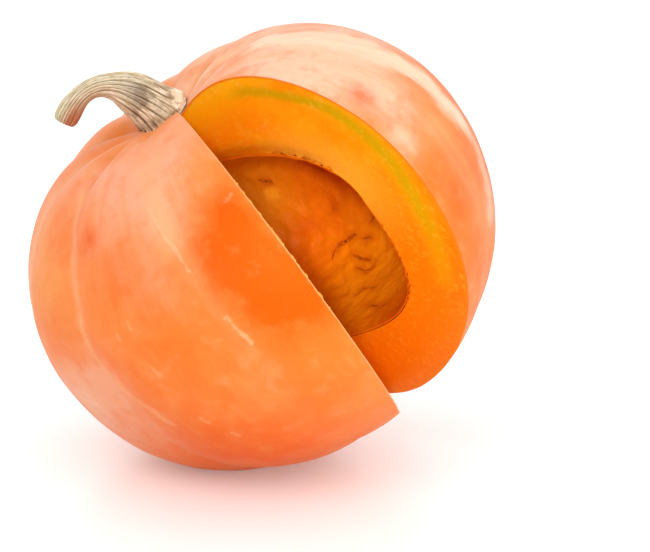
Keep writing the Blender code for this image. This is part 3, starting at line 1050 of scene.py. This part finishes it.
CORK_SHARE = (0.97, 0.96, 0.94)
CORK = (192, 168, 128)
LIGHT_CORK = (254, 242, 214)
CORK_THREAD = (140, 112, 78)
# Painted reflection of the skin on the stem's underside
CORK_SKIN_BOUNCE = (208, 122, 84)
CORK_SHADE = (146, 122, 94)
OLIVE_CORK = (186, 176, 134)
# Painted shade in the stem's grooves
CORK_GROOVE_SHADE = (104, 84, 60)
CORK_FOOT = (146, 112, 76)
CORK_PATCH = (122, 108, 92)
KNOB = (246, 220, 184)
LIGHT_KNOB = (254, 240, 216)
# Painted reflection of the skin on the underside near the tip
TIP_SKIN_BOUNCE = (180, 98, 58)
CUT_END = (172, 90, 54)


def rind_material():
    look = Look("squash_rind")
    place, streak = look.vector("place"), look.vector("streak")
    broad = look.noise(place, 0.022, 3)
    patches = look.noise(place, 0.075, 5, 0.65)
    strokes = look.noise(streak, 0.14, 5, 0.62)
    fine = look.noise(place, 0.5, 3)
    look.base(SKIN, LIGHT_SKIN, broad, 0.38, 0.62)
    look.coat(BRUSHED_SKIN, strokes, 0.52, 0.78, 0, 0.45)
    yellow = look.marked("yellow", strokes, 0.3, 0.7, 0.7, 1.1)
    look.coat(YELLOW_SKIN, look.capped(yellow, 0.9))
    swept = look.times(look.plus(patches, strokes), 0.5)
    # Pink blush, partly painted highlight and painted rim light.
    pink_and_highlight = look.marked("pink_and_highlight", swept, 0.38, 0.60, 0.6, 1.15)
    look.coat(PINK_SKIN_AND_PAINTED_HIGHLIGHT, look.capped(pink_and_highlight, 0.92))
    # Pale patches, partly painted light where the skin lies in shade.
    top = look.marked("top", swept, 0.38, 0.60, 0.55, 1.2)
    look.coat(PALE_SKIN_AND_PAINTED_LIGHT, look.capped(top, 0.95))
    mottle = look.noise(place, 0.13, 4, 0.55)
    look.coat(DARK_MOTTLE, mottle, 0.50, 0.68, 0, 0.26)
    look.coat(LIGHT_MOTTLE, mottle, 0.32, 0.48, 0.18, 0)
    deep = look.marked("deep", patches, 0.35, 0.62, 1.25, 0.75)
    look.coat(DEEP_SKIN, look.capped(deep, 0.96))
    look.coat(CLOUDY_SKIN, patches, 0.56, 0.74, 0, 0.3)
    warped = look.shifted(place, 0.10, 10)
    strands = look.noise(streak, 0.45, 3, 0.6)
    for stops, width, most in zip(CREAM_STRIPES, (5, 7, 9, 6), (0.8, 0.95, 1, 0.45)):
        distance = near_line(look, warped, stops)
        distance = look.plus(distance, look.times(look.minus(strands, 0.5), 7))
        look.coat(CREAM, distance, width * 0.15, width * 1.3, most, 0)
    for stops, width, most in zip(PALE_STREAKS, (3.6, 2.8, 8), (0.5, 0.5, 0.4)):
        distance = near_line(look, warped, stops)
        look.coat(PALE_STREAK, distance, 0.5, width, most, 0)
    groove = look.marked("groove", strokes, 0.35, 0.6, 0.5, 1.2)
    look.coat(PALE_GROOVE, groove)
    jitter = look.shifted(place, 0.4, 1.6)
    uneven = look.times(look.minus(look.noise(place, 0.35, 3), 0.5), 2.6)
    for stops, width, most in zip(FINE_LINES, (1, 1.4), (0.4, 0.5)):
        distance = look.plus(near_line(look, jitter, stops), uneven)
        look.coat(FINE_LINE, distance, 0.1, width, most, 0)
    for stops in PALE_SPOTS:
        distance = look.plus(near_line(look, jitter, stops), uneven)
        look.coat(PALE_SPOT, distance, 0.1, 1.4, 0.28, 0)
    look.coat(SKIN_AT_STEM, look.number("near_stem"), 0.1, 0.9, 0, 0.5)
    pores = look.cells(place, 0.30)
    look.coat(PORE, pores, 0.02, 0.22, 0.06, 0)
    rim = look.minus(look.number("off_cut"), look.times(fine, 0.6))
    look.coat(CUT_RIM, rim, -0.1, 0.35, 0.55, 0)
    look.coat(SKIN_INSIDE, look.number("under_skin"), 0.35, 0.75)
    height = look.plus(look.times(fine, 0.6), look.times(pores, 0.25))
    look.set(
        Base_Color=look.along("MULTIPLY", look.colour, RIND_SHARE),
        Roughness=look.span(strokes, 0.3, 0.7, 0.40, 0.52),
        Specular_Tint=(1, 0.5, 0.15),
        Subsurface_Weight=0.10,
        Subsurface_Radius=(1, 0.35, 0.12),
        Subsurface_Scale=0.002,
        Specular_IOR_Level=0.18,
        Normal=look.bump(height, 0.10, 0.0006),
    )
    return look.material


def flesh_material():
    look = Look("squash_flesh")
    place = look.vector("place")
    depth, off_hollow = look.number("under_skin"), look.number("off_hollow")
    angle = look.number("angle")
    broad = look.noise(place, 0.06, 3)
    fibres = look.noise(place, 0.45, 4, 0.65)
    look.base(FLESH, LIGHT_FLESH, broad, 0.35, 0.65)
    inner = look.span(off_hollow, 2, 22, 1, 0)
    inner = look.times(inner, look.span(angle, 38, 60))
    look.coat(INNER_FLESH, look.times(inner, 0.85))
    look.coat(LOW_FLESH, angle, 68, 112, 0, 1)
    # Painted light: the flesh near the apex is lightened where the lamps leave it dim.
    apex = look.times(look.span(angle, 30, 50, 1, 0), look.span(depth, 6, 18, 1, 0))
    look.coat(APEX_FLESH_PAINTED_LIGHT, apex)
    # Painted shade: the flesh darkens towards the hollow's upper edge, where its rounded edge turns away from
    # the light.
    turned = look.times(look.span(off_hollow, 0.5, 6, 1, 0), look.span(angle, 36, 52, 0.6, 0))
    look.coat(EDGE_FLESH_PAINTED_SHADE, turned)
    wavering = look.times(look.minus(fibres, 0.5), 3)
    wavering = look.plus(look.number("off_olive"), wavering)
    olive = look.span(look.math("ABSOLUTE", wavering), 0.3, 4.2, 0.9, 0)
    olive = look.times(olive, look.number("olive"))
    look.coat(OLIVE, olive)
    look.coat(FLESH_AT_SKIN, depth, 0.9, 2, 0.55, 0)
    look.coat(PALE_FIBRE, fibres, 0.5, 0.75, 0, 0.4)
    bubbles = look.cells(place, 0.42)
    ring = look.span(look.math("ABSOLUTE", look.minus(bubbles, 0.34)), 0, 0.10, 0.3, 0)
    ring = look.times(ring, look.span(look.noise(place, 0.10, 2), 0.54, 0.64))
    ring = look.times(ring, look.span(angle, 75, 95, 1, 0))
    look.coat(BUBBLE_RIM, ring)
    grain = look.noise(place, 1.4, 3, 0.6)
    look.coat(DARK_GRAIN, grain, 0.5, 0.75, 0, 0.35)
    look.coat(CRUMB, look.times(look.number("crumb"), 0.8))
    look.coat(TORN_FLESH, look.times(look.number("torn"), 0.7))
    height = look.plus(fibres, look.times(look.noise(place, 1.6, 2), 0.4))
    look.set(
        Base_Color=look.along("MULTIPLY", look.colour, FLESH_SHARE),
        Roughness=0.42,
        Specular_Tint=(1, 0.6, 0.2),
        Subsurface_Weight=0.2,
        Subsurface_Radius=(1, 0.4, 0.08),
        Subsurface_Scale=0.004,
        Normal=look.bump(height, 0.18, 0.0008),
    )
    return look.material


def pulp_material():
    look = Look("squash_pulp")
    place = look.vector("place")
    broad = look.noise(place, 0.05, 4, 0.6)
    veins = look.noise(place, 0.14, 5, 0.65, 1.2)
    fine = look.noise(place, 0.7, 4, 0.6)
    look.base(PULP, LIGHT_PULP, broad, 0.35, 0.68)
    look.coat(PULP_VEIN, veins, 0.54, 0.70, 0, 0.6)
    look.coat(PALE_PULP, fine, 0.55, 0.8, 0, 0.4)
    # Painted shade: the pulp is darker in the dips between its lumps and folds, and so also where it thins
    # towards the cut.
    look.coat(PULP_DIP_SHADE, look.number("off_hollow"), -3, -2.2, 0, 0.45)
    # Painted light: the pulp is lighter and yellower towards the left of the hollow, where it lies in shade.
    left = look.off(place, (0, 60, 0))
    look.coat(LEFT_PULP_PAINTED_LIGHT, left, 12, 38, 0.7, 0)
    # Painted light: the pulp under the overhang of the hollow's upper edge is lightened.
    look.coat(ROOF_PULP_PAINTED_LIGHT, look.times(look.number("painted_roof_light"), 0.9))
    look.coat(PULP_LIP, look.times(look.number("lip"), 0.8))
    warped = look.shifted(place, 0.2, 3)
    # Painted light: the pulp is lightened towards the low part of the hollow, which the lamps reach poorly.
    low = look.off(place, (35, 16, -53))
    look.coat(LOW_PULP_PAINTED_LIGHT, low, 14, 52, 0.95, 0)
    teardrop = look.off(warped, (17, 63.5, -4.6))
    look.coat(TEARDROP, teardrop, 2.5, 5.5, 0.8, 0)
    stain = look.marked("stain", veins, 0.35, 0.6, 0.25, 0.65)
    look.coat(SLIT_STAIN, stain)
    look.coat(TORN_PULP, look.times(look.number("torn"), 0.5))
    height = look.plus(veins, look.times(fine, 0.5))
    look.set(
        Base_Color=look.along("MULTIPLY", look.colour, PULP_SHARE),
        Roughness=0.45,
        Specular_Tint=(1, 0.6, 0.2),
        Subsurface_Weight=0.2,
        Subsurface_Radius=(1, 0.35, 0.06),
        Subsurface_Scale=0.004,
        Specular_IOR_Level=0.3,
        Normal=look.bump(height, 0.35, 0.0012),
    )
    return look.material


def cork_material():
    look = Look("squash_cork")
    fibre, walked, ridge = look.vector("fibre"), look.number("walked"), look.number("ridge")
    strands = look.noise(fibre, 1.3, 4, 0.65)
    threads = look.noise(fibre, 3.2, 3, 0.6)
    broad = look.noise(look.vector("place"), 0.20, 3)
    look.base(CORK, LIGHT_CORK, strands, 0.35, 0.62)
    look.coat(CORK_THREAD, threads, 0.54, 0.68, 0, 0.6)
    # Painted reflection: reddish light bounced from the skin onto the stem's underside.
    underside_bounce = look.marked("underside_bounce", walked, 28, 54, 0.15, 1)
    underside_bounce = look.times(underside_bounce, look.span(strands, 0.3, 0.6, 1.1, 0.75))
    look.coat(CORK_SKIN_BOUNCE, underside_bounce)
    shade = look.times(look.span(walked, 16, 36, 1, 0.25), look.span(broad, 0.46, 0.62, 0, 0.7))
    look.coat(CORK_SHADE, shade)
    olive = look.times(look.span(walked, 34, 50, 0, 0.5), look.span(threads, 0.4, 0.6))
    look.coat(OLIVE_CORK, olive)
    # Painted shade: the cork is darker down in the grooves between its ridges.
    look.coat(CORK_GROOVE_SHADE, ridge, 0.30, 0.68, 0.85, 0)
    dark_foot = look.times(look.span(walked, 12, 19, 1, 0), look.span(broad, 0.35, 0.6, 0.3, 0.85))
    look.coat(CORK_FOOT, dark_foot)
    patch = look.marked("patch", strands, 0.35, 0.6, 1, 0.55)
    look.coat(CORK_PATCH, patch)
    edge = look.times(look.minus(look.noise(look.vector("place"), 0.5, 4), 0.5), 1.2)
    on_knob = look.span(look.plus(look.number("knob"), edge), 0.15, 0.55)
    pale = look.mix(look.span(broad, 0.35, 0.65), tint(*KNOB), tint(*LIGHT_KNOB))
    look.colour = look.mix(on_knob, look.colour, pale)
    # Painted reflection: redder light bounced from the skin onto the underside near the cut end.
    tip_bounce = look.times(look.span(walked, 47, 59), look.span(strands, 0.35, 0.6, 1, 0.6))
    tip_bounce = look.times(tip_bounce, look.span(look.number("underside_bounce"), 0.02, 0.28))
    look.coat(TIP_SKIN_BOUNCE, tip_bounce)
    look.coat(CUT_END, look.times(look.number("cut_end"), 0.85))
    look.set(
        Base_Color=look.along("MULTIPLY", look.colour, CORK_SHARE),
        Roughness=0.85,
        Specular_IOR_Level=0.25,
        Normal=look.bump(look.plus(strands, threads), 0.6, 0.0008),
    )
    return look.material


# Set: floor, light and camera

def make_stage():
    mesh = bpy.data.meshes.new("floor")
    mesh.from_pydata([(-4, -4, 0), (4, -4, 0), (4, 4, 0), (-4, 4, 0)], [], [(0, 1, 2, 3)])
    look = Look("floor")
    look.set(Base_Color=(0.86, 0.86, 0.86), Roughness=0.28)
    look.set(Emission_Color=(1.0, 1.0, 1.0), Emission_Strength=0.16)
    mesh.materials.append(look.material)
    floor = object_of("floor", mesh)
    world = bpy.data.worlds.new("studio")
    world.use_nodes = True
    world.node_tree.nodes["Background"].inputs["Color"].default_value = (1.0, 1.0, 1.0, 1.0)
    world.node_tree.nodes["Background"].inputs["Strength"].default_value = 1.12
    bpy.context.scene.world = world


def make_light(name, kind, place, target, power, **settings):
    data = bpy.data.lights.new(name, kind)
    data.energy = power
    for setting, value in settings.items():
        setattr(data, setting, value)
    light = object_of(name, data)
    light.location = place
    light.rotation_euler = (Vector(target) - Vector(place)).to_track_quat("-Z", "Y").to_euler()


def make_lights():
    """Two soft lights from the front, and two narrow ones that reach into the hollow."""
    make_light("key", "AREA", (-0.55, -0.75, 0.85), (0, 0, 0.09), 3.0, shape="DISK", size=0.7)
    make_light("fill", "AREA", (0.7, -0.8, 0.45), (0.02, 0, 0.08), 2.5, shape="DISK", size=0.9)
    narrow = {"shadow_soft_size": 0.05, "spot_blend": 1.0}
    make_light("snoot", "SPOT", (0, -1, 0.30), (0.046, 0.02, 0.080), 38.0, spot_size=radians(8.5), **narrow)
    low = (0.28, -0.95, 0.07)
    make_light("low_snoot", "SPOT", low, (0.040, 0.02, 0.086), 17.0, spot_size=radians(7.5), **narrow)


def make_camera():
    data = bpy.data.cameras.new("camera")
    data.sensor_fit = "HORIZONTAL"
    data.sensor_width = SENSOR_WIDTH
    data.lens = LENS
    camera = object_of("camera", data)
    camera.location = Vector(CENTRE_ABOVE_REST) + Vector(CAMERA_FROM_CENTRE)
    camera.rotation_euler = (CAMERA_PITCH, 0, 0)
    bpy.context.scene.camera = camera


def main():
    make_rind(rind_material())
    make_flesh(flesh_material())
    make_pulp(pulp_material())
    make_stem(cork_material())
    make_stage()
    make_lights()
    make_camera()
    bpy.context.scene.view_settings.view_transform = "Standard"


main()
